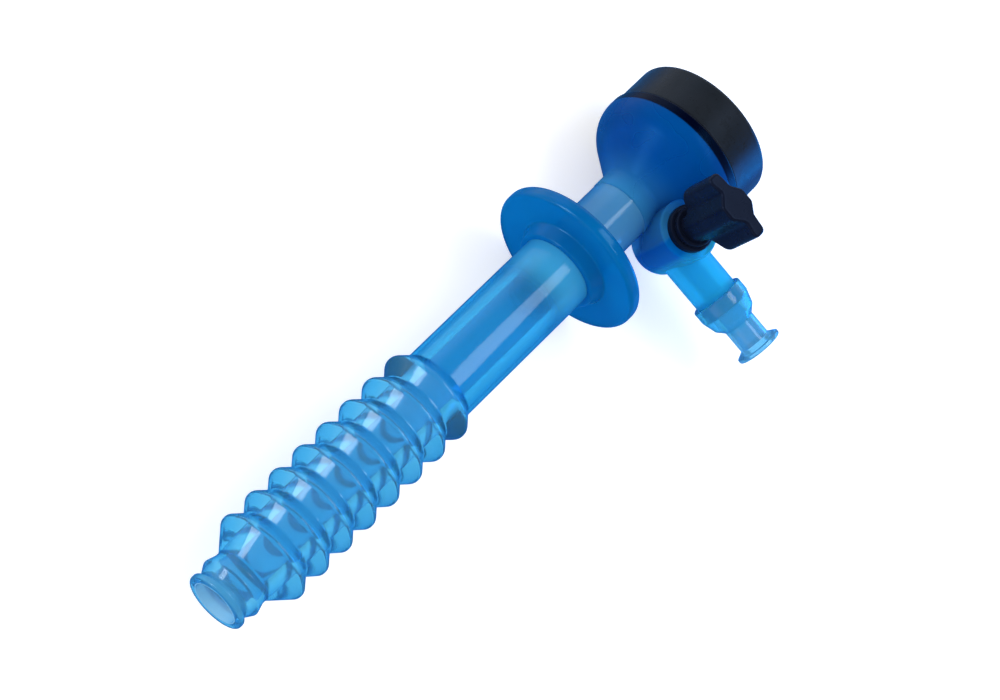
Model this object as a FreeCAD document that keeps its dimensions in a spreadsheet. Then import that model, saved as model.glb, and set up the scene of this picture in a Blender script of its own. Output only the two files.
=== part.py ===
import FreeCAD, Part
import math
import os
import Sketcher

# Arthroscopy cannula: a ribbed shaft on a funnel hub with a stopcock and a sealed cap.
# X runs along the shaft axis, from the origin at the distal mouth towards the cap.
# The inflow port points along -Y and the stopcock key turns about a line parallel to +Z.
# Lengths are millimetres. A wall, step, reach or length is measured from its neighbour.
SIZES = {
    # joints between pieces
    "bond_gap": 0.02,
    "key_play": 0.04,
    # shaft
    "bore_radius": 3.5,
    "lip_wall": 1.2,
    "lip_length": 0.8,
    "lip_round": 0.3,
    "groove_wall": 0.5,
    "groove_reach": 0.7,
    "bead_wall": 1.5,
    "bead_reach": 1.65,
    "bead_round": 0.5,
    "waist_wall": 1.0,
    "waist_reach": 1.65,
    "waist_length": 0.8,
    "tube_wall": 2.375,
    "rib_height": 1.6,
    "rib_reach": 3.9,
    "rib_pitch": 4.84,
    "rib_crest_width": 0.5,
    "rib_valley_width": 0.24,
    "rib_root": 0.5,
    "rib_round": 0.55,
    "plain_length": 29.62,
    "spigot_wall": 0.7,
    "neck_wall": 0.73,
    "neck_length": 11.4,
    "socket_depth": 7.0,
    # depth flange
    "boss_length": 2.05,
    "boss_end_wall": 0.705,
    "boss_base_wall": 1.605,
    "boss_round": 0.45,
    "flange_seat": 1.15,
    "flange_web": 1.2,
    "flange_width": 4.9,
    "flange_round": 0.8,
    # hub
    "spigot_end_clearance": 0.3,
    "hub_step": 0.1,
    "hub_neck_length": 3.2,
    "cone_length": 6.3,
    "shoulder_round": 5.0,
    "rim_step": 0.3,
    "rim_length": 3.6,
    "rim_setback": 1.8,
    "rim_round": 0.35,
    "collar_radius": 10.9,
    "collar_wall": 1.0,
    "ledge_width": 1.5,
    "chamber_length": 3.25,
    "chamber_round": 1.8,
    "flare_length": 4.35,
    "flare_round": 0.8,
    # stopcock barrel and inflow port, heights from the port axis
    "port_setback": 3.4,
    "throat_wall": 0.15,
    "barrel_wall": 1.63,
    "barrel_top": 6.4,
    "barrel_bottom": 3.5,
    "barrel_bottom_round": 0.8,
    "barrel_top_round": 0.3,
    "barrel_floor": 0.8,
    "key_bore_radius": 2.85,
    "key_bore_taper": 0.35,
    "counterbore_step": 0.22,
    "counterbore_depth": 1.0,
    "passage_radius": 1.4,
    "port_radius": 3.5,
    "port_length": 13.25,
    # luer connector
    "luer_overlap": 2.3,
    "luer_socket_wall": 0.68,
    "luer_sleeve_length": 2.0,
    "luer_brow_drop": 0.65,
    "luer_brow_length": 2.2,
    "luer_mouth_radius": 2.15,
    "luer_taper": 0.03,
    "luer_stem_wall": 0.35,
    "luer_waist_length": 1.1,
    "luer_stem_length": 3.7,
    "luer_flare_length": 0.7,
    "luer_rim_width": 1.2,
    "luer_rim_length": 0.6,
    "luer_round": 0.25,
    # stopcock key, its seal and its collar
    "key_foot_clearance": 0.1,
    "key_stem_radius": 1.9,
    "key_square_side": 2.6,
    "key_square_length": 5.5,
    "key_seal_height": 4.1,
    "key_seal_cord_radius": 0.36,
    "key_seal_side_gap": 0.09,
    "key_collar_lip": 0.53,
    "key_collar_height": 1.1,
    "key_collar_round": 0.35,
    # handle, seen along the key: front is its distal side and reach runs along a wing
    "handle_float": 0.1,
    "handle_length": 13.2,
    "handle_round": 0.45,
    "handle_skirt_radius": 3.05,
    "handle_skirt_height": 0.9,
    "handle_skirt_round": 0.3,
    "socket_headroom": 0.3,
    "core_front": 2.3,
    "core_back": 2.45,
    "core_half_width": 1.1,
    "core_side": 2.2,
    "core_round": 1.0,
    "wing_root_reach": 2.7,
    "wing_root_front": 0.75,
    "wing_root_back": 1.25,
    "wing_root_round": 0.8,
    "wing_reach": 5.5,
    "wing_tip_front": 1.3,
    "wing_tip_back": 0.95,
    "wing_tip_round": 0.8,
    "wing_depth": 7.6,
    "wing_slope_depth": 3.3,
    # seals and rings inside the hub
    "valve_flange_thickness": 1.4,
    "valve_length": 4.5,
    "valve_radius": 6.0,
    "valve_wall": 0.7,
    "valve_lip": 0.9,
    "valve_slit": 0.12,
    "spacer_thickness": 2.3,
    "spacer_inner_radius": 6.8,
    "septum_thickness": 1.5,
    "septum_web_radius": 6.8,
    "septum_web_thickness": 0.7,
    "septum_web_setback": 0.3,
    "septum_dish": 1.0,
    "septum_hole_radius": 2.4,
    "retainer_thickness": 1.7,
    "retainer_hole_radius": 4.8,
    "retainer_chamfer": 1.0,
    "gasket_thickness": 0.6,
    "gasket_width": 3.3,
    # cap
    "cap_wall": 0.88,
    "cap_end_thickness": 1.3,
    "cap_round": 0.8,
    "cap_edge_round": 0.25,
    "mouth_radius": 4.6,
    "mouth_flare": 1.3,
    "mouth_flare_depth": 0.8,
}
RIB_COUNT = 8


class Size:
    """A number that remembers the sheet expression it comes from."""

    def __init__(self, text, value):
        self.text = text
        self.value = value

    def __add__(self, other):
        return combine(self, "+", other)

    def __sub__(self, other):
        return combine(self, "-", other)

    def __mul__(self, other):
        return combine(self, "*", other)

    def __truediv__(self, other):
        return combine(self, "/", other)

    def __neg__(self):
        return combine(0, "-", self)


def as_size(item):
    if isinstance(item, Size):
        return item
    return Size(str(item), float(item))


def combine(first, sign, second):
    first = as_size(first)
    second = as_size(second)
    if sign == "+":
        value = first.value + second.value
    elif sign == "-":
        value = first.value - second.value
    elif sign == "*":
        value = first.value * second.value
    else:
        value = first.value / second.value
    return Size("(%s %s %s)" % (first.text, sign, second.text), value)


class Sizes:
    """The named cells of the sheet, read as size.bore_radius and so on."""

    def __init__(self, sheet):
        for name in SIZES:
            setattr(self, name, Size("Sizes." + name, float(getattr(sheet, name))))


class Layout:
    """Radii and places that follow from the named sizes."""

    def __init__(self):
        self.lip_radius = size.bore_radius + size.lip_wall
        self.groove_at = size.lip_length + size.groove_reach
        self.bead_at = self.groove_at + size.bead_reach
        self.waist_at = self.bead_at + size.waist_reach
        self.waist_end = self.waist_at + size.waist_length
        self.tube_radius = size.bore_radius + size.tube_wall
        self.rib_radius = self.tube_radius + size.rib_height
        self.first_rib_at = self.waist_end + size.rib_reach
        self.half_foot = (size.rib_pitch - size.rib_valley_width) / 2
        ribs_end = self.first_rib_at + size.rib_pitch * (RIB_COUNT - 1) + self.half_foot
        self.shoulder_at = ribs_end + size.plain_length
        self.socket_radius = size.bore_radius + size.spigot_wall + size.bond_gap
        self.neck_radius = self.socket_radius + size.neck_wall
        self.seam_at = self.shoulder_at + size.neck_length
        self.socket_floor = self.seam_at - size.socket_depth

        self.flange_at = self.shoulder_at - size.flange_seat
        self.over_tube = self.tube_radius + size.bond_gap

        self.cone_at = self.seam_at + size.hub_neck_length
        self.cone_end = self.cone_at + size.cone_length
        self.rim_end = self.cone_end + size.rim_length
        self.seat_radius = size.collar_radius - size.collar_wall
        self.seal_radius = self.seat_radius - size.bond_gap
        seats = size.valve_flange_thickness + size.spacer_thickness
        seats = seats + size.septum_thickness + size.retainer_thickness
        self.ledge_at = self.rim_end - size.rim_setback
        self.spacer_at = self.ledge_at + size.valve_flange_thickness
        self.septum_at = self.spacer_at + size.spacer_thickness
        self.retainer_at = self.septum_at + size.septum_thickness
        self.collar_end = self.ledge_at + seats
        self.cap_underside = self.collar_end + size.gasket_thickness
        self.cap_end = self.cap_underside + size.cap_end_thickness
        self.cap_radius = size.collar_radius + size.bond_gap + size.cap_wall
        self.rim_radius = self.cap_radius + size.rim_step

        self.counterbore_radius = size.key_bore_radius + size.counterbore_step
        self.barrel_radius = self.counterbore_radius + size.barrel_wall
        self.port_at = self.seam_at + size.port_setback
        self.key_offset = size.bore_radius + size.throat_wall + self.barrel_radius
        self.port_reach = self.key_offset + size.port_length
        self.bore_floor = size.barrel_floor - size.barrel_bottom
        self.counterbore_at = size.barrel_top - size.counterbore_depth
        self.key_collar_top = size.barrel_top + size.key_collar_height
        self.handle_start = self.key_collar_top + size.handle_float
        self.skirt_top = self.handle_start + size.handle_skirt_height
        self.handle_top = self.handle_start + size.handle_length


def make_sheet(doc):
    sheet = doc.addObject("Spreadsheet::Sheet", "Sizes")
    for row, (name, value) in enumerate(SIZES.items(), start=1):
        sheet.set("A%d" % row, name)
        sheet.set("B%d" % row, str(value))
        sheet.setAlias("B%d" % row, name)
    doc.recompute()
    return Sizes(sheet)


def bind(item, prop, value):
    item.setExpression(prop, as_size(value).text)


def new_body(name, shift=(0, 0, 0), turn=0):
    body = doc.addObject("PartDesign::Body", name)
    body.Label = name
    body.Placement.Rotation = FreeCAD.Rotation(FreeCAD.Vector(0, 0, 1), turn)
    for letter, amount in zip("xyz", shift):
        bind(body, "Placement.Base." + letter, amount)
    return body


def origin_feature(body, role):
    return [item for item in body.Origin.OriginFeatures if item.Role == role][0]


def new_sketch(body, name, plane, shift=(0, 0, 0)):
    # The XY plane faces +Z, the XZ plane faces -Y and the YZ plane faces +X.
    sketch = body.newObject("Sketcher::SketchObject", name)
    sketch.AttachmentSupport = [(origin_feature(body, plane + "_Plane"), "")]
    sketch.MapMode = "FlatFace"
    for letter, amount in zip("xyz", shift):
        bind(sketch, "AttachmentOffset.Base." + letter, amount)
    return sketch


def dimension(sketch, kind, refs, amount):
    amount = as_size(amount)
    index = sketch.addConstraint(Sketcher.Constraint(kind, *refs, amount.value))
    bind(sketch, "Constraints[%d]" % index, amount)


def fix_point(sketch, geometry, position, corner):
    dimension(sketch, "DistanceX", (-1, 1, geometry, position), corner[0])
    dimension(sketch, "DistanceY", (-1, 1, geometry, position), corner[1])


def rounding(before, here, after, radius):
    # The two tangent points, the centre and the middle of the arc that rounds a corner.
    back = (before - here).normalize()
    ahead = (after - here).normalize()
    half = back.getAngle(ahead) / 2
    reach = radius / math.tan(half)
    inward = (back + ahead).normalize()
    centre = here + inward * (radius / math.sin(half))
    return here + back * reach, here + ahead * reach, centre - inward * radius


def outline(sketch, corners):
    """Close a profile through corners (x, y) or (x, y, radius of the rounded corner)."""
    points = [FreeCAD.Vector(as_size(c[0]).value, as_size(c[1]).value, 0) for c in corners]
    count = len(corners)
    starts = []
    ends = []
    arcs = []
    for i, corner in enumerate(corners):
        if len(corner) == 2:
            starts.append(points[i])
            ends.append(points[i])
            arcs.append(None)
            continue
        ahead = points[(i + 1) % count]
        first, last, middle = rounding(points[i - 1], points[i], ahead, corner[2].value)
        starts.append(last)
        ends.append(first)
        arcs.append(Part.Arc(first, middle, last))
    lines = []
    for i in range(count):
        segment = Part.LineSegment(starts[i], ends[(i + 1) % count])
        lines.append(sketch.addGeometry(segment, False))
    for i, corner in enumerate(corners):
        before = lines[i - 1]
        after = lines[i]
        if arcs[i] is None:
            sketch.addConstraint(Sketcher.Constraint("Coincident", before, 2, after, 1))
            fix_point(sketch, after, 1, corner)
            continue
        arc = sketch.addGeometry(arcs[i], False)
        arc_start, arc_end = arc_ends(sketch, arc, ends[i])
        sketch.addConstraint(Sketcher.Constraint("Tangent", before, 2, arc, arc_start))
        sketch.addConstraint(Sketcher.Constraint("Tangent", arc, arc_end, after, 1))
        dimension(sketch, "Radius", (arc,), corner[2])
        tip = sketch.addGeometry(Part.Point(points[i]), True)
        fix_point(sketch, tip, 1, corner)
        sketch.addConstraint(Sketcher.Constraint("PointOnObject", tip, 1, before))
        sketch.addConstraint(Sketcher.Constraint("PointOnObject", tip, 1, after))
    return sketch


def arc_ends(sketch, arc, first):
    # Sketch arcs run anticlockwise, so a clockwise one starts at its far end.
    if sketch.getPoint(arc, 1).distanceToPoint(first) < 1e-6:
        return 1, 2
    return 2, 1


def circles(sketch, discs):
    for across, up, radius in discs:
        centre = FreeCAD.Vector(as_size(across).value, as_size(up).value, 0)
        shape = Part.Circle(centre, FreeCAD.Vector(0, 0, 1), radius.value)
        index = sketch.addGeometry(shape, False)
        fix_point(sketch, index, 3, (across, up))
        dimension(sketch, "Radius", (index,), radius)
    return sketch


def turned(body, name, kind, sketch, axis):
    feature = body.newObject("PartDesign::" + kind, name)
    feature.Profile = sketch
    feature.ReferenceAxis = (sketch, [axis])
    feature.Angle = 360
    sketch.Visibility = False
    return feature


def revolve_x(body, name, corners, kind="Revolution"):
    sketch = outline(new_sketch(body, name + "_profile", "XY"), corners)
    return turned(body, name, kind, sketch, "H_Axis")


def revolve_z(body, name, corners, kind="Revolution", shift=(0, 0, 0)):
    sketch = outline(new_sketch(body, name + "_profile", "XZ", shift), corners)
    return turned(body, name, kind, sketch, "V_Axis")


def pushed(body, name, kind, sketch, length, backwards=False, midplane=False):
    feature = body.newObject("PartDesign::" + kind, name)
    feature.Profile = sketch
    bind(feature, "Length", length)
    feature.Reversed = backwards
    if midplane:
        feature.SideType = "Symmetric"
    return feature


def cannula_tube():
    body = new_body("cannula_tube")
    half_crest = size.rib_crest_width / 2
    revolve_x(body, "shaft", [
        (0, size.bore_radius),
        (0, lay.lip_radius, size.lip_round),
        (size.lip_length, lay.lip_radius, size.lip_round),
        (lay.groove_at, size.bore_radius + size.groove_wall, size.lip_round),
        (lay.bead_at, size.bore_radius + size.bead_wall, size.bead_round),
        (lay.waist_at, size.bore_radius + size.waist_wall, size.bead_round),
        (lay.waist_end, size.bore_radius + size.waist_wall, size.bead_round),
        (lay.first_rib_at - half_crest, lay.rib_radius, size.rib_round),
        (lay.first_rib_at + half_crest, lay.rib_radius, size.rib_round),
        (lay.first_rib_at + lay.half_foot, lay.tube_radius),
        (lay.shoulder_at, lay.tube_radius),
        (lay.shoulder_at, lay.neck_radius),
        (lay.seam_at, lay.neck_radius),
        (lay.seam_at, lay.socket_radius),
        (lay.socket_floor, lay.socket_radius),
        (lay.socket_floor, size.bore_radius),
    ])
    second = lay.first_rib_at + size.rib_pitch
    root = lay.tube_radius - size.rib_root
    rib = revolve_x(body, "rib", [
        (second - lay.half_foot, root),
        (second - lay.half_foot, lay.tube_radius),
        (second - half_crest, lay.rib_radius, size.rib_round),
        (second + half_crest, lay.rib_radius, size.rib_round),
        (second + lay.half_foot, lay.tube_radius),
        (second + lay.half_foot, root),
    ])
    doc.recompute()
    ribs = body.newObject("PartDesign::LinearPattern", "ribs")
    ribs.Originals = [rib]
    ribs.Direction = (origin_feature(body, "X_Axis"), [""])
    ribs.Occurrences = RIB_COUNT - 1
    bind(ribs, "Length", size.rib_pitch * (RIB_COUNT - 2))
    body.Tip = ribs
    return body


def depth_flange():
    body = new_body("depth_flange")
    boss_at = lay.flange_at - size.boss_length
    boss_base = lay.over_tube + size.boss_base_wall
    rim = boss_base + size.flange_width
    back = lay.shoulder_at + size.flange_web
    over_neck = lay.neck_radius + size.bond_gap
    revolve_x(body, "disc", [
        (boss_at, lay.over_tube),
        (boss_at, lay.over_tube + size.boss_end_wall, size.boss_round),
        (lay.flange_at, boss_base, size.boss_round),
        (lay.flange_at, rim, size.flange_round),
        (back, rim, size.flange_round),
        (back, over_neck),
        (lay.shoulder_at, over_neck),
        (lay.shoulder_at, lay.over_tube),
    ])
    return body


def hub_housing():
    body = new_body("hub_housing")
    spigot_at = lay.socket_floor + size.spigot_end_clearance
    spigot_radius = size.bore_radius + size.spigot_wall
    hub_neck_radius = lay.neck_radius + size.hub_step
    chamber_radius = lay.seat_radius - size.ledge_width
    chamber_at = lay.ledge_at - size.chamber_length
    revolve_x(body, "funnel", [
        (spigot_at, size.bore_radius),
        (spigot_at, spigot_radius),
        (lay.seam_at, spigot_radius),
        (lay.seam_at, hub_neck_radius, size.rim_round),
        (lay.cone_at, hub_neck_radius, size.flare_round),
        (lay.cone_end, lay.rim_radius, size.shoulder_round),
        (lay.rim_end, lay.rim_radius, size.rim_round),
        (lay.rim_end, size.collar_radius),
        (lay.collar_end, size.collar_radius),
        (lay.collar_end, lay.seat_radius),
        (lay.ledge_at, lay.seat_radius),
        (lay.ledge_at, chamber_radius),
        (chamber_at, chamber_radius, size.chamber_round),
        (chamber_at - size.flare_length, size.bore_radius, size.flare_round),
    ])
    key_line = (lay.port_at, 0, lay.key_offset)
    revolve_z(body, "barrel", [
        (0, -size.barrel_bottom),
        (lay.barrel_radius, -size.barrel_bottom, size.barrel_bottom_round),
        (lay.barrel_radius, size.barrel_top, size.barrel_top_round),
        (0, size.barrel_top),
    ], shift=key_line)
    port = circles(
        new_sketch(body, "port_section", "XZ", (0, 0, lay.key_offset)),
        [(lay.port_at, 0, size.port_radius)],
    )
    pushed(body, "port_tube", "Pad", port, size.port_length)
    revolve_z(body, "key_bore", [
        (0, lay.bore_floor),
        (key_bore_radius(lay.bore_floor), lay.bore_floor),
        (key_bore_radius(lay.counterbore_at), lay.counterbore_at),
        (lay.counterbore_radius, lay.counterbore_at),
        (lay.counterbore_radius, lay.key_collar_top),
        (0, lay.key_collar_top),
    ], "Groove", key_line)
    passage = circles(
        new_sketch(body, "passage_section", "XZ"),
        [(lay.port_at, 0, size.passage_radius)],
    )
    pushed(body, "passage", "Pocket", passage, lay.port_reach * 2, backwards=True)
    return body


def luer_connector():
    body = new_body("luer_connector", (lay.port_at, 0, 0), turn=-90)
    socket_radius = size.port_radius + size.bond_gap
    sleeve_radius = socket_radius + size.luer_socket_wall
    start = lay.port_reach - size.luer_overlap
    sleeve_end = start + size.luer_sleeve_length
    brow_end = sleeve_end + size.luer_brow_length
    stem_start = brow_end + size.luer_waist_length
    stem_end = stem_start + size.luer_stem_length
    rim_start = stem_end + size.luer_flare_length
    end = rim_start + size.luer_rim_length
    stem_radius = size.luer_mouth_radius + size.luer_stem_wall
    rim_radius = stem_radius + size.luer_rim_width
    floor = lay.port_reach + size.bond_gap
    floor_radius = size.luer_mouth_radius - (end - floor) * size.luer_taper
    soft = size.luer_round * 2
    revolve_x(body, "connector", [
        (start, socket_radius),
        (start, sleeve_radius, size.luer_round),
        (sleeve_end, sleeve_radius, soft),
        (brow_end, sleeve_radius - size.luer_brow_drop, soft),
        (stem_start, stem_radius, size.luer_round),
        (stem_end, stem_radius, size.luer_round),
        (rim_start, rim_radius, size.luer_round / 2),
        (end, rim_radius, size.luer_round),
        (end, size.luer_mouth_radius),
        (floor, floor_radius),
        (floor, socket_radius),
    ])
    return body


def key_bore_radius(height):
    # Radius of the tapered key bore at a height above the port axis.
    drop = size.key_bore_taper * (lay.counterbore_at - height)
    return size.key_bore_radius - drop / (lay.counterbore_at - lay.bore_floor)


def key_seal_radius():
    # Distance of the seal cord's centre from the key axis.
    wall = key_bore_radius(size.key_seal_height)
    return wall - size.key_play - size.key_seal_cord_radius


def stopcock_body(name):
    return new_body(name, (lay.port_at, -lay.key_offset, 0))


def square(sketch, side):
    half = side / 2
    return outline(sketch, [(-half, -half), (half, -half), (half, half), (-half, half)])


def stopcock_key():
    body = stopcock_body("stopcock_key")
    foot = lay.bore_floor + size.key_foot_clearance
    shoulder = lay.counterbore_at - size.key_foot_clearance
    half_groove = size.key_seal_cord_radius + size.key_seal_side_gap
    groove_low = size.key_seal_height - half_groove
    groove_high = size.key_seal_height + half_groove
    groove_radius = key_seal_radius() - size.key_seal_cord_radius - size.bond_gap
    revolve_z(body, "core", [
        (0, foot),
        (key_bore_radius(foot) - size.key_play, foot),
        (key_bore_radius(groove_low) - size.key_play, groove_low),
        (groove_radius, groove_low),
        (groove_radius, groove_high),
        (key_bore_radius(groove_high) - size.key_play, groove_high),
        (key_bore_radius(shoulder) - size.key_play, shoulder),
        (size.key_stem_radius, shoulder),
        (size.key_stem_radius, lay.key_collar_top),
        (0, lay.key_collar_top),
    ])
    end = square(
        new_sketch(body, "square_section", "XY", (0, 0, lay.key_collar_top)),
        size.key_square_side,
    )
    pushed(body, "square_end", "Pad", end, size.key_square_length)
    port = circles(new_sketch(body, "port_section", "XZ"), [(0, 0, size.passage_radius)])
    pushed(body, "cross_port", "Pocket", port, lay.barrel_radius * 2, midplane=True)
    return body


def key_seal():
    ring = doc.addObject("Part::Torus", "key_seal")
    ring.Label = "key_seal"
    bind(ring, "Radius1", key_seal_radius())
    bind(ring, "Radius2", size.key_seal_cord_radius)
    bind(ring, "Placement.Base.x", lay.port_at)
    bind(ring, "Placement.Base.y", -lay.key_offset)
    bind(ring, "Placement.Base.z", size.key_seal_height)
    return ring


def key_collar():
    body = stopcock_body("key_collar")
    inside = size.key_stem_radius + size.key_play
    spigot = lay.counterbore_radius - size.bond_gap
    outer = lay.counterbore_radius + size.key_collar_lip
    revolve_z(body, "collar", [
        (inside, lay.counterbore_at),
        (spigot, lay.counterbore_at),
        (spigot, size.barrel_top),
        (outer, size.barrel_top),
        (outer, lay.key_collar_top, size.key_collar_round),
        (inside, lay.key_collar_top),
    ])
    return body


def handle_section(sketch):
    # A rounded core with a wing each way, waisted where they join.
    core = size.core_half_width
    root = size.wing_root_reach
    tip = size.wing_reach
    return outline(sketch, [
        (size.core_back, -core, size.core_round),
        (size.core_back, core, size.core_round),
        (size.wing_root_back, root, size.wing_root_round),
        (size.wing_tip_back, tip, size.wing_tip_round),
        (-size.wing_tip_front, tip, size.wing_tip_round),
        (-size.wing_root_front, root, size.wing_root_round),
        (-size.core_front, core, size.core_round),
        (-size.core_front, -core, size.core_round),
        (-size.wing_root_front, -root, size.wing_root_round),
        (-size.wing_tip_front, -tip, size.wing_tip_round),
        (size.wing_tip_back, -tip, size.wing_tip_round),
        (size.wing_root_back, -root, size.wing_root_round),
    ])


def under_wing(sketch, side):
    # What is cut away below a wing, on the side of the core that the sign names.
    tip_low = lay.handle_top - size.wing_depth
    root_low = tip_low - size.wing_slope_depth
    outside = size.wing_reach + size.handle_skirt_height
    corners = [
        (size.core_side, lay.skirt_top),
        (outside, lay.skirt_top),
        (outside, tip_low),
        (size.wing_reach, tip_low),
        (size.core_side, root_low),
    ]
    return outline(sketch, [(reach * side, height) for reach, height in corners])


def stopcock_handle():
    body = stopcock_body("stopcock_handle")
    revolve_z(body, "skirt", [
        (0, lay.handle_start),
        (size.handle_skirt_radius, lay.handle_start),
        (size.handle_skirt_radius, lay.skirt_top, size.handle_skirt_round),
        (0, lay.skirt_top),
    ])
    section = handle_section(new_sketch(body, "section", "XY", (0, 0, lay.skirt_top)))
    pushed(body, "grip", "Pad", section, lay.handle_top - lay.skirt_top)
    for name, side in (("inner", -1), ("outer", 1)):
        void = under_wing(new_sketch(body, name + "_void_outline", "YZ"), side)
        through = size.core_back * 4
        pushed(body, name + "_void", "Pocket", void, through, midplane=True)
    soften_top(body)
    socket = square(
        new_sketch(body, "socket_section", "XY", (0, 0, lay.handle_start)),
        size.key_square_side + size.bond_gap * 2,
    )
    depth = size.key_square_length + size.socket_headroom
    pushed(body, "socket", "Pocket", socket, depth, backwards=True)
    return body


def soften_top(body):
    # Round the edge all round the handle's top face.
    doc.recompute()
    top = lay.handle_top.value
    names = []
    for number, edge in enumerate(body.Shape.Edges, start=1):
        if edge.BoundBox.ZMin > top - 1e-4:
            names.append("Edge%d" % number)
    rounded = body.newObject("PartDesign::Fillet", "top_round")
    rounded.Base = (body.Group[-2], names)
    bind(rounded, "Radius", size.handle_round)


def valve_wedge(name, lip_half, base_half, width, start, length):
    # A block that widens along X from its lip to its base.
    wedge = doc.addObject("Part::Wedge", name)
    wedge.Placement.Rotation = FreeCAD.Rotation(FreeCAD.Vector(0, 0, 1), -90)
    bind(wedge, "Placement.Base.x", start)
    bind(wedge, "Ymin", 0)
    bind(wedge, "Ymax", length)
    bind(wedge, "Xmin", -lip_half)
    bind(wedge, "Xmax", lip_half)
    bind(wedge, "X2min", -base_half)
    bind(wedge, "X2max", base_half)
    bind(wedge, "Zmin", -width)
    bind(wedge, "Zmax", width)
    bind(wedge, "Z2min", -width)
    bind(wedge, "Z2max", width)
    return wedge


def rod_along_x(name, radius, start, length):
    rod = doc.addObject("Part::Cylinder", name)
    rod.Placement.Rotation = FreeCAD.Rotation(FreeCAD.Vector(0, 1, 0), 90)
    bind(rod, "Placement.Base.x", start)
    bind(rod, "Radius", radius)
    bind(rod, "Height", length)
    return rod


def common(name, first, second):
    result = doc.addObject("Part::Common", name)
    result.Base = first
    result.Tool = second
    return result


def cut(name, base, tool):
    result = doc.addObject("Part::Cut", name)
    result.Base = base
    result.Tool = tool
    return result


def fused(name, shapes):
    result = doc.addObject("Part::MultiFuse", name)
    result.Shapes = shapes
    return result


def duckbill_valve():
    lip_at = lay.ledge_at - size.valve_length
    length = lay.spacer_at - lip_at
    inner = size.valve_radius - size.valve_wall
    half_lip = size.valve_lip / 2
    half_slit = size.valve_slit / 2
    flange = rod_along_x(
        "valve_flange",
        lay.seal_radius,
        lay.ledge_at,
        size.valve_flange_thickness,
    )
    bill = common(
        "valve_bill",
        rod_along_x("valve_round", size.valve_radius, lip_at, length),
        valve_wedge(
            "valve_slopes", half_lip, size.valve_radius, size.valve_radius, lip_at,
            size.valve_length,
        ),
    )
    hollow = common(
        "valve_hollow",
        rod_along_x("valve_bore", inner, lip_at, length),
        valve_wedge(
            "valve_inner_slopes", half_slit, inner, inner, lip_at + size.valve_wall,
            size.valve_length,
        ),
    )
    throat = rod_along_x(
        "valve_throat", inner, lay.ledge_at + size.valve_wall, size.valve_flange_thickness
    )
    slit = doc.addObject("Part::Box", "valve_slit")
    bind(slit, "Length", size.valve_length)
    bind(slit, "Width", size.valve_slit)
    bind(slit, "Height", inner * 2 - size.valve_wall * 2)
    bind(slit, "Placement.Base.x", lip_at - size.valve_wall)
    bind(slit, "Placement.Base.y", -half_slit)
    bind(slit, "Placement.Base.z", size.valve_wall - inner)
    valve = cut(
        "duckbill_valve",
        fused("valve_outside", [flange, bill]),
        fused("valve_inside", [hollow, throat, slit]),
    )
    valve.Label = "duckbill_valve"
    return valve


def plain_ring(name, start, end, inner, outer, chamfer=None):
    body = new_body(name)
    mouth = inner if chamfer is None else inner + chamfer
    revolve_x(body, "ring", [(start, inner), (start, outer), (end, outer), (end, mouth)])
    return body


def valve_spacer():
    inner = size.spacer_inner_radius
    return plain_ring("valve_spacer", lay.spacer_at, lay.septum_at, inner, lay.seal_radius)


def septum_seal():
    body = new_body("septum_seal")
    web = lay.retainer_at - size.septum_web_setback
    hole_face = web - size.septum_dish
    revolve_x(body, "diaphragm", [
        (lay.septum_at, lay.seal_radius),
        (lay.retainer_at, lay.seal_radius),
        (lay.retainer_at, size.septum_web_radius),
        (web, size.septum_web_radius),
        (hole_face, size.septum_hole_radius),
        (hole_face - size.septum_web_thickness, size.septum_hole_radius),
        (web - size.septum_web_thickness, size.septum_web_radius),
        (lay.septum_at, size.septum_web_radius),
    ])
    return body


def seal_retainer():
    return plain_ring(
        "seal_retainer", lay.retainer_at, lay.collar_end, size.retainer_hole_radius,
        lay.seal_radius, size.retainer_chamfer,
    )


def cap_gasket():
    inner = size.collar_radius - size.gasket_width
    return plain_ring("cap_gasket", lay.collar_end, lay.cap_underside, inner, size.collar_radius)


def seal_cap():
    body = new_body("seal_cap")
    inside = size.collar_radius + size.bond_gap
    revolve_x(body, "cap", [
        (lay.rim_end, inside),
        (lay.rim_end, lay.cap_radius, size.cap_edge_round),
        (lay.cap_end, lay.cap_radius, size.cap_round),
        (lay.cap_end, size.mouth_radius + size.mouth_flare),
        (lay.cap_end - size.mouth_flare_depth, size.mouth_radius),
        (lay.cap_underside, size.mouth_radius),
        (lay.cap_underside, inside),
    ])
    return body


def check(parts):
    for item in doc.Objects:
        if "Invalid" in item.State or "Error" in item.State:
            raise RuntimeError("%s is %s" % (item.Name, item.State))
    for item in parts:
        shape = item.Shape
        if shape.isNull() or not shape.isValid() or len(shape.Solids) != 1:
            raise RuntimeError("%s has a bad shape" % item.Label)


def export(parts):
    os.makedirs("parts", exist_ok=True)
    for item in parts:
        item.Shape.exportStep("parts/%s.step" % item.Label)
        print("%-18s %9.2f mm3" % (item.Label, item.Shape.Volume))


doc = FreeCAD.newDocument("cannula")
size = make_sheet(doc)
lay = Layout()
parts = [
    cannula_tube(),
    depth_flange(),
    hub_housing(),
    luer_connector(),
    stopcock_key(),
    key_seal(),
    key_collar(),
    stopcock_handle(),
    duckbill_valve(),
    valve_spacer(),
    septum_seal(),
    seal_retainer(),
    cap_gasket(),
    seal_cap(),
]
doc.recompute()
check(parts)
export(parts)
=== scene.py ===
import bpy
from mathutils import Matrix, Vector


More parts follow.
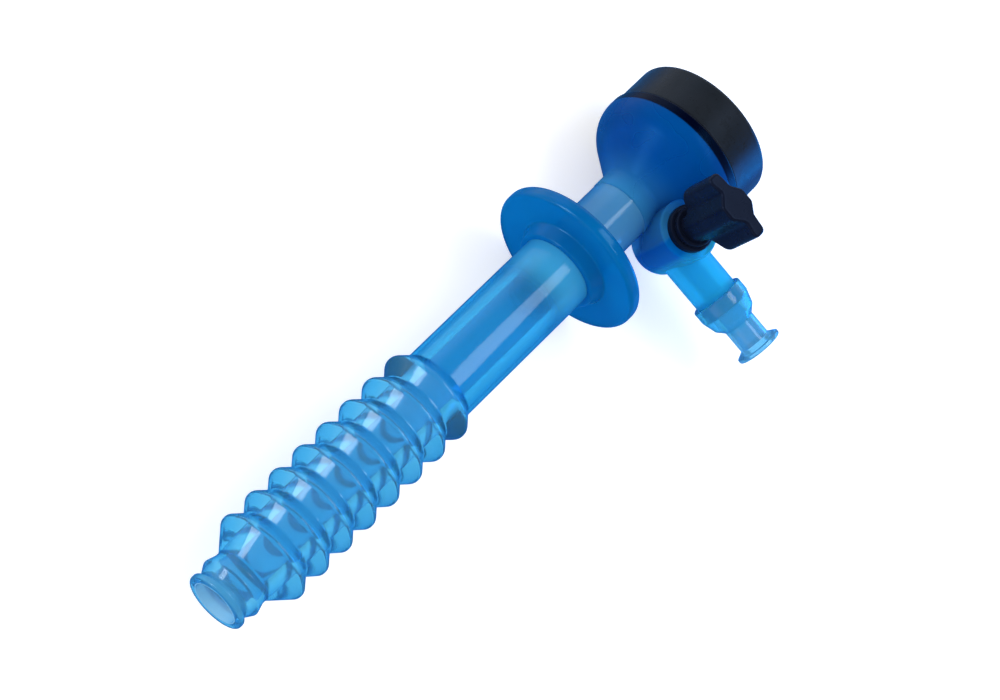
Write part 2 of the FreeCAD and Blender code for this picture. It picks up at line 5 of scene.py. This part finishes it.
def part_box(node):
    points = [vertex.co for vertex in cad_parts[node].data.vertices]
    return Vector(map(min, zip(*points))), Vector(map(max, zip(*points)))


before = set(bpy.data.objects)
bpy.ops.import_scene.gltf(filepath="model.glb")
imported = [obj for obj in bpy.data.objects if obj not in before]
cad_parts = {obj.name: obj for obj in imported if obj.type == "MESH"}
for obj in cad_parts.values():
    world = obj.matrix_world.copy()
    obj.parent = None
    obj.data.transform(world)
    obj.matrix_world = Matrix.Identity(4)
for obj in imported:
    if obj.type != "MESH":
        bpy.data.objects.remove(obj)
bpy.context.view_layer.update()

MM = 0.001
WHITE = (1, 1, 1)

# Camera, solved from the circles that the photograph shows on the shaft, flange and cap.
CAMERA_PLACE = Vector((-133.404, 54.341, 377.159)) * MM
CAMERA_RIGHT = Vector((0.63882, -0.64467, 0.41988))
CAMERA_UP = Vector((0.62630, 0.75273, 0.20284))
CAMERA_BACK = Vector((-0.44682, 0.13339, 0.88462))
CAMERA_LENS = 108
SENSOR_WIDTH = 36
CLIP_START = 0.01
CLIP_END = 20

# Floor: white, with a painted blue reflection: glossy rays alone see it blue up to a little beyond
# the shaft, so the part's glossy surfaces mirror blue.
FLOOR_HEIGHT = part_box("depth_flange")[0][2]
FLOOR_SIZE = 6.0
FLOOR_ROUGHNESS = 0.9
FLOOR_WHITE = (0.86, 0.87, 0.88)
FLOOR_REFLECTION_BLUE = (0.03, 0.24, 0.62)
BLUE_END = 20 * MM
WHITE_START = 60 * MM
FLOOR_LIFT = 0.4

# World: even light and white walls, with a grey -Y side and a dark ceiling for gloss.
WORLD_LIGHT = 0.85
WALL_WHITE = 1.0
CEILING_GREY = 0.12
WALL_TOP = 0.3
CEILING_START = 0.75
SIDE_GREY = 0.3
SIDE_END = -0.6
SIDE_START = 0.0

# Places where the tint of the tube changes, in metres along X.
MOUTH_DEPTH = 1.6 * MM
TIP_END = 4.5 * MM
RIBS_END = 43 * MM
FLANGE_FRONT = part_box("depth_flange")[0][0]
FLANGE_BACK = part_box("depth_flange")[1][0]
MILKY_LENGTH = 10 * MM
BORE_RADIUS = 3.5 * MM

# Places where the tint of the hub changes, along X for the painted light of the bell and the painted
# shade band beside the cap, and Y for the others.
# The bell zone carries painted light: the hub is coloured lighter towards the thin neck.
BELL_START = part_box("hub_housing")[0][0] + 6 * MM
BELL_END = BELL_START + 7 * MM
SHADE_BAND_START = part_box("seal_cap")[0][0] - 1.8 * MM
SHADE_BAND_END = SHADE_BAND_START + 0.3 * MM
BARREL_START = -6.5 * MM
PORT_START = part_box("key_collar")[0][1] + 2 * MM
PORT_END = PORT_START - 2.2 * MM

# Place along Y where the port's sleeve ends.
SLEEVE_END = -24.5 * MM

# Lengths over which a tint fades, soft and sharp.
FADE = 1 * MM
SHARP_FADE = 0.1 * MM

IOR_TUBE = 1.46
IOR_COAT = 1.03
IOR_DEEP = 1.25
IOR_FLANGE = 1.35
IOR_BLACK = 1.28
IOR_RUBBER = 1.4
IOR_WHITE = 1.5
COAT_ROUGHNESS = 0.1
GLOSS_SPREAD = 0.2

# Range that a noise mostly keeps to.
NOISE_LOW = 0.3
NOISE_HIGH = 0.7


def new_material(name):
    material = bpy.data.materials.new(name)
    material.use_nodes = True
    nodes = material.node_tree.nodes
    return material, nodes, material.node_tree.links, nodes["Principled BSDF"]


def object_place(nodes):
    return nodes.new("ShaderNodeTexCoord").outputs["Object"]


def noise(nodes, links, scale, detail):
    texture = nodes.new("ShaderNodeTexNoise")
    texture.inputs["Scale"].default_value = scale
    texture.inputs["Detail"].default_value = detail
    links.new(object_place(nodes), texture.inputs["Vector"])
    return texture.outputs["Fac"]


def ramp(nodes, links, value, start, end, low=0.0, high=1.0):
    """Smooth step from low to high, each a number or another node's output."""
    ranged = nodes.new("ShaderNodeMapRange")
    ranged.interpolation_type = "SMOOTHSTEP"
    ranged.inputs["From Min"].default_value = start
    ranged.inputs["From Max"].default_value = end
    for name, level in (("To Min", low), ("To Max", high)):
        if isinstance(level, (int, float)):
            ranged.inputs[name].default_value = level
        else:
            links.new(level, ranged.inputs[name])
    links.new(value, ranged.inputs["Value"])
    return ranged.outputs["Result"]


def choose(nodes, links, factor, low, high):
    """Low where the factor is 0 and high where it is 1."""
    return ramp(nodes, links, factor, 0, 1, low, high)


def spread(nodes, links, texture, low=0.0, high=1.0):
    """A noise stretched to the range from low to high."""
    return ramp(nodes, links, texture, NOISE_LOW, NOISE_HIGH, low, high)


def zone(nodes, links, axis, start, end):
    """0 before start and 1 past end, along one axis of the object."""
    parts = nodes.new("ShaderNodeSeparateXYZ")
    links.new(object_place(nodes), parts.inputs["Vector"])
    return ramp(nodes, links, parts.outputs[axis], start, end)


def from_axis(nodes, links):
    """Distance from the shaft axis."""
    parts = nodes.new("ShaderNodeSeparateXYZ")
    links.new(object_place(nodes), parts.inputs["Vector"])
    flat = nodes.new("ShaderNodeCombineXYZ")
    links.new(parts.outputs["Y"], flat.inputs["Y"])
    links.new(parts.outputs["Z"], flat.inputs["Z"])
    length = nodes.new("ShaderNodeVectorMath")
    length.operation = "LENGTH"
    links.new(flat.outputs["Vector"], length.inputs[0])
    return length.outputs["Value"]


def inside(nodes, links, radius, depth):
    """1 nearer to the shaft axis than radius and no further in than depth."""
    near = ramp(nodes, links, from_axis(nodes, links), radius, radius + SHARP_FADE, 1, 0)
    deep = zone(nodes, links, "X", depth, 2 * depth)
    return choose(nodes, links, deep, near, 0)


def blend(nodes, links, factor, first, second):
    """Mix of two colours, each a tuple or another node's output."""
    mixer = nodes.new("ShaderNodeMix")
    mixer.data_type = "RGBA"
    links.new(factor, mixer.inputs["Factor"])
    for name, colour in (("A", first), ("B", second)):
        if isinstance(colour, tuple):
            mixer.inputs[name].default_value = (*colour, 1)
        else:
            links.new(colour, mixer.inputs[name])
    return mixer.outputs["Result"]


def roughen(nodes, links, shader, height, strength, distance):
    bump = nodes.new("ShaderNodeBump")
    bump.inputs["Strength"].default_value = strength
    bump.inputs["Distance"].default_value = distance
    links.new(height, bump.inputs["Height"])
    links.new(bump.outputs["Normal"], shader.inputs["Normal"])


def absorb(material, colour, density):
    """Thick stretches of a clear moulding look deeper than thin ones."""
    nodes = material.node_tree.nodes
    volume = nodes.new("ShaderNodeVolumeAbsorption")
    volume.inputs["Color"].default_value = (*colour, 1)
    volume.inputs["Density"].default_value = density
    material.node_tree.links.new(volume.outputs["Volume"], nodes["Material Output"].inputs["Volume"])


def tint_coat(shader, colour):
    """Thin tinted coat, which deepens the colour at shallow angles, as clear plastic does."""
    shader.inputs["Coat Weight"].default_value = 1
    shader.inputs["Coat Roughness"].default_value = COAT_ROUGHNESS
    shader.inputs["Coat IOR"].default_value = IOR_COAT
    shader.inputs["Coat Tint"].default_value = (*colour, 1)


def clear_plastic(name, deep, light, roughness, transmission, ior=IOR_TUBE, shine=WHITE):
    """Tinted clear moulding: flow clouds in the tint and a faintly uneven gloss."""
    material, nodes, links, shader = new_material(name)
    clouds = spread(nodes, links, noise(nodes, links, scale=90, detail=3))
    colour = blend(nodes, links, clouds, deep, light)
    links.new(colour, shader.inputs["Base Color"])
    haze = noise(nodes, links, scale=60, detail=2)
    smooth = roughness * (1 - GLOSS_SPREAD)
    rough = roughness * (1 + GLOSS_SPREAD)
    links.new(spread(nodes, links, haze, smooth, rough), shader.inputs["Roughness"])
    waves = noise(nodes, links, scale=120, detail=1)
    roughen(nodes, links, shader, waves, strength=0.08, distance=0.1 * MM)
    shader.inputs["Transmission Weight"].default_value = transmission
    shader.inputs["IOR"].default_value = ior
    shader.inputs["Specular Tint"].default_value = (*shine, 1)
    return material, nodes, links, shader, colour


def tube_plastic():
    """Blue, deeper past the ribs, milky near the flange and neck, paler and less clear inside the
    mouth.
    """
    material, nodes, links, shader, blue = clear_plastic(
        "tube_blue",
        deep=(0.21, 0.77, 0.96),
        light=(0.27, 0.81, 0.97),
        roughness=0.1,
        transmission=0.85,
    )
    milky = zone(nodes, links, "X", FLANGE_FRONT - MILKY_LENGTH, FLANGE_FRONT - FADE)
    shaft = blend(nodes, links, milky, (0.09, 0.66, 0.9), (0.08, 0.56, 0.92))
    plain = zone(nodes, links, "X", RIBS_END, RIBS_END + 2 * FADE)
    body = blend(nodes, links, plain, blue, shaft)
    tip = zone(nodes, links, "X", TIP_END, TIP_END - FADE)
    body = blend(nodes, links, tip, body, (0.28, 0.78, 0.95))
    neck = zone(nodes, links, "X", FLANGE_BACK - FADE, FLANGE_BACK + FADE)
    body = blend(nodes, links, neck, body, (0.14, 0.47, 0.83))
    mouth = inside(nodes, links, BORE_RADIUS + SHARP_FADE, MOUTH_DEPTH)
    body = blend(nodes, links, mouth, body, (0.5, 0.76, 0.93))
    links.new(body, shader.inputs["Base Color"])
    clear = choose(nodes, links, milky, 0.85, 0.4)
    clear = choose(nodes, links, mouth, clear, 0.25)
    links.new(clear, shader.inputs["Transmission Weight"])
    tint_coat(shader, (0.75, 0.88, 0.96))
    absorb(material, (0.0, 0.69, 0.92), density=40)
    return material


def flange_plastic():
    material = clear_plastic(
        "flange_blue",
        deep=(0.0, 0.18, 0.55),
        light=(0.0, 0.22, 0.6),
        roughness=0.1,
        transmission=0.45,
        ior=IOR_FLANGE,
        shine=(0.3, 0.7, 1),
    )[0]
    absorb(material, (0.0, 0.6, 0.92), density=150)
    return material


def hub_plastic():
    """Royal blue, with painted light making it lighter at the thin neck and port tube, and a painted
    navy shade band beside the cap.
    """
    material, nodes, links, shader, royal = clear_plastic(
        "hub_blue",
        deep=(0.0, 0.09, 0.46),
        light=(0.0, 0.12, 0.52),
        roughness=0.3,
        transmission=0.5,
        ior=IOR_DEEP,
        shine=(0.05, 0.4, 1),
    )
    # Painted light: the hub is coloured lighter at the thin neck, standing for light through the
    # thin wall.
    bell = zone(nodes, links, "X", BELL_START, BELL_END)
    body = blend(nodes, links, bell, (0.05, 0.38, 0.8), royal)
    funnel = zone(nodes, links, "Y", BARREL_START - FADE, BARREL_START)
    body = blend(nodes, links, funnel, (0.0, 0.16, 0.6), body)
    clear = choose(nodes, links, funnel, 0.15, 0.5)
    # Painted shade: a near-black navy band on the hub beside the cap, standing for the shade under
    # the cap's lip and the black seal seen through it.
    rim = zone(nodes, links, "X", SHADE_BAND_START, SHADE_BAND_END)
    body = blend(nodes, links, rim, body, (0.0, 0.0, 0.015))
    # Painted light: the hub is coloured lighter and more cyan where it runs into the port tube,
    # standing for light through the thinner wall.
    barrel = zone(nodes, links, "Y", PORT_END, PORT_START)
    body = blend(nodes, links, barrel, (0.03, 0.6, 0.93), body)
    clear = choose(nodes, links, barrel, 0.6, clear)
    links.new(body, shader.inputs["Base Color"])
    links.new(clear, shader.inputs["Transmission Weight"])
    absorb(material, (0.0, 0.55, 0.92), density=150)
    return material


def port_plastic():
    """Clear blue, paler at the stem and rim than at the sleeve."""
    material, nodes, links, shader, blue = clear_plastic(
        "port_blue",
        deep=(0.06, 0.52, 0.8),
        light=(0.1, 0.58, 0.84),
        roughness=0.12,
        transmission=0.75,
    )
    sleeve = zone(nodes, links, "Y", SLEEVE_END - FADE, SLEEVE_END)
    links.new(blend(nodes, links, sleeve, (0.17, 0.55, 0.8), blue), shader.inputs["Base Color"])
    absorb(material, (0.0, 0.6, 0.95), density=120)
    return material


def solid_plastic(name, deep, light, smooth, rough, ior, shine=WHITE):
    """Opaque moulding with faint clouds in its colour and a fine grain."""
    material, nodes, links, shader = new_material(name)
    clouds = spread(nodes, links, noise(nodes, links, scale=140, detail=4))
    links.new(blend(nodes, links, clouds, deep, light), shader.inputs["Base Color"])
    grain = noise(nodes, links, scale=900, detail=6)
    links.new(spread(nodes, links, grain, smooth, rough), shader.inputs["Roughness"])
    roughen(nodes, links, shader, grain, strength=0.05, distance=0.03 * MM)
    shader.inputs["IOR"].default_value = ior
    shader.inputs["Specular Tint"].default_value = (*shine, 1)
    return material


def black_plastic():
    return solid_plastic(
        "black_plastic",
        deep=(0.009, 0.012, 0.016),
        light=(0.013, 0.016, 0.021),
        smooth=0.26,
        rough=0.36,
        ior=IOR_BLACK,
        shine=(0.4, 0.6, 1),
    )


def knob_plastic():
    return solid_plastic(
        "knob_plastic",
        deep=(0.004, 0.006, 0.016),
        light=(0.006, 0.009, 0.022),
        smooth=0.26,
        rough=0.36,
        ior=IOR_DEEP,
        shine=(0.3, 0.5, 1),
    )


def white_plastic():
    return solid_plastic(
        "white_plastic",
        deep=(0.6, 0.66, 0.7),
        light=(0.7, 0.74, 0.78),
        smooth=0.35,
        rough=0.5,
        ior=IOR_WHITE,
    )


def seal_rubber():
    return solid_plastic(
        "seal_rubber",
        deep=(0.01, 0.012, 0.03),
        light=(0.02, 0.024, 0.05),
        smooth=0.5,
        rough=0.7,
        ior=IOR_RUBBER,
    )


def dress_nodes():
    black = black_plastic()
    knob = knob_plastic()
    rubber = seal_rubber()
    materials = {
        "cannula_tube": tube_plastic(),
        "depth_flange": flange_plastic(),
        "hub_housing": hub_plastic(),
        "luer_connector": port_plastic(),
        "stopcock_key": white_plastic(),
        "key_seal": rubber,
        "key_collar": knob,
        "stopcock_handle": knob,
        "duckbill_valve": rubber,
        "valve_spacer": black,
        "septum_seal": rubber,
        "seal_retainer": black,
        "cap_gasket": rubber,
        "seal_cap": black,
    }
    for name, material in materials.items():
        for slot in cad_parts[name].material_slots:
            slot.material = material


def rays(nodes, links, *kinds):
    """1 for a ray of any of the kinds: camera, glossy or transmission."""
    path = nodes.new("ShaderNodeLightPath")
    total = path.outputs[f"Is {kinds[0]} Ray"]
    for kind in kinds[1:]:
        larger = nodes.new("ShaderNodeMath")
        larger.operation = "MAXIMUM"
        links.new(total, larger.inputs[0])
        links.new(path.outputs[f"Is {kind} Ray"], larger.inputs[1])
        total = larger.outputs[0]
    return total


def make_world():
    world = bpy.data.worlds.new("studio")
    bpy.context.scene.world = world
    world.use_nodes = True
    nodes = world.node_tree.nodes
    links = world.node_tree.links
    background = nodes["Background"]
    background.inputs["Color"].default_value = (*WHITE, 1)
    direction = nodes.new("ShaderNodeSeparateXYZ")
    links.new(nodes.new("ShaderNodeTexCoord").outputs["Generated"], direction.inputs["Vector"])
    across, up = direction.outputs["Y"], direction.outputs["Z"]
    walls = ramp(nodes, links, across, SIDE_END, SIDE_START, SIDE_GREY, WALL_WHITE)
    gloss = ramp(nodes, links, up, WALL_TOP, CEILING_START, walls, CEILING_GREY)
    strength = choose(nodes, links, rays(nodes, links, "Glossy"), WORLD_LIGHT, gloss)
    seen = rays(nodes, links, "Camera", "Transmission")
    strength = choose(nodes, links, seen, strength, WALL_WHITE)
    links.new(strength, background.inputs["Strength"])


def make_floor():
    bpy.ops.mesh.primitive_plane_add(size=FLOOR_SIZE, location=(0, 0, FLOOR_HEIGHT))
    floor = bpy.context.object
    floor.name = "studio_floor"
    material, nodes, links, shader = new_material("floor_white")
    # Painted reflection: glossy rays see the floor blue near the part, so glossy surfaces show a
    # blue reflection; camera and transmission rays see it white.
    near = zone(nodes, links, "Y", WHITE_START, BLUE_END)
    painted_reflection = choose(nodes, links, rays(nodes, links, "Glossy"), 0, near)
    painted_reflection = choose(nodes, links, rays(nodes, links, "Transmission"), painted_reflection, 0)
    links.new(blend(nodes, links, painted_reflection, FLOOR_WHITE, FLOOR_REFLECTION_BLUE), shader.inputs["Base Color"])
    shader.inputs["Roughness"].default_value = FLOOR_ROUGHNESS
    shader.inputs["Emission Color"].default_value = (*WHITE, 1)
    seen = rays(nodes, links, "Camera", "Transmission")
    lift = choose(nodes, links, seen, 0, FLOOR_LIFT)
    links.new(lift, shader.inputs["Emission Strength"])
    floor.data.materials.append(material)


def make_lamp(name, target, direction, distance, size, power, colour=WHITE):
    """Soft box that shines on target from the given direction."""
    data = bpy.data.lights.new(name, "AREA")
    data.shape = "RECTANGLE"
    data.size, data.size_y = size
    data.energy = power
    data.color = colour
    lamp = bpy.data.objects.new(name, data)
    away = Vector(direction).normalized()
    lamp.location = Vector(target) + away * distance
    lamp.rotation_euler = (-away).to_track_quat("-Z", "Y").to_euler()
    lamp.visible_camera = False
    lamp.visible_transmission = False
    bpy.context.scene.collection.objects.link(lamp)


def make_lamps():
    make_lamp(
        "rib_key",
        target=(0.025, 0, 0),
        direction=(-0.71, 0.66, 0.26),
        distance=0.42,
        size=(0.14, 0.16),
        power=0.6,
    )
    make_lamp(
        "overhead",
        target=(0.05, 0, 0),
        direction=(0.45, -0.2, 0.88),
        distance=0.2,
        size=(0.13, 0.06),
        power=0.1,
    )
    make_lamp(
        "blue_edge",
        target=(0.103, 0, 0),
        direction=(0.59, -0.78, 0.06),
        distance=0.07,
        size=(0.06, 0.05),
        power=0.065,
        colour=(0.0, 0.3, 1),
    )


def make_camera():
    data = bpy.data.cameras.new("camera")
    data.lens = CAMERA_LENS
    data.sensor_width = SENSOR_WIDTH
    data.sensor_fit = "HORIZONTAL"
    data.clip_start = CLIP_START
    data.clip_end = CLIP_END
    camera = bpy.data.objects.new("camera", data)
    turn = Matrix((CAMERA_RIGHT, CAMERA_UP, CAMERA_BACK)).transposed()
    camera.matrix_world = Matrix.Translation(CAMERA_PLACE) @ turn.to_4x4()
    bpy.context.scene.collection.objects.link(camera)
    bpy.context.scene.camera = camera


bpy.context.scene.view_settings.view_transform = "Standard"
dress_nodes()
make_world()
make_floor()
make_lamps()
make_camera()
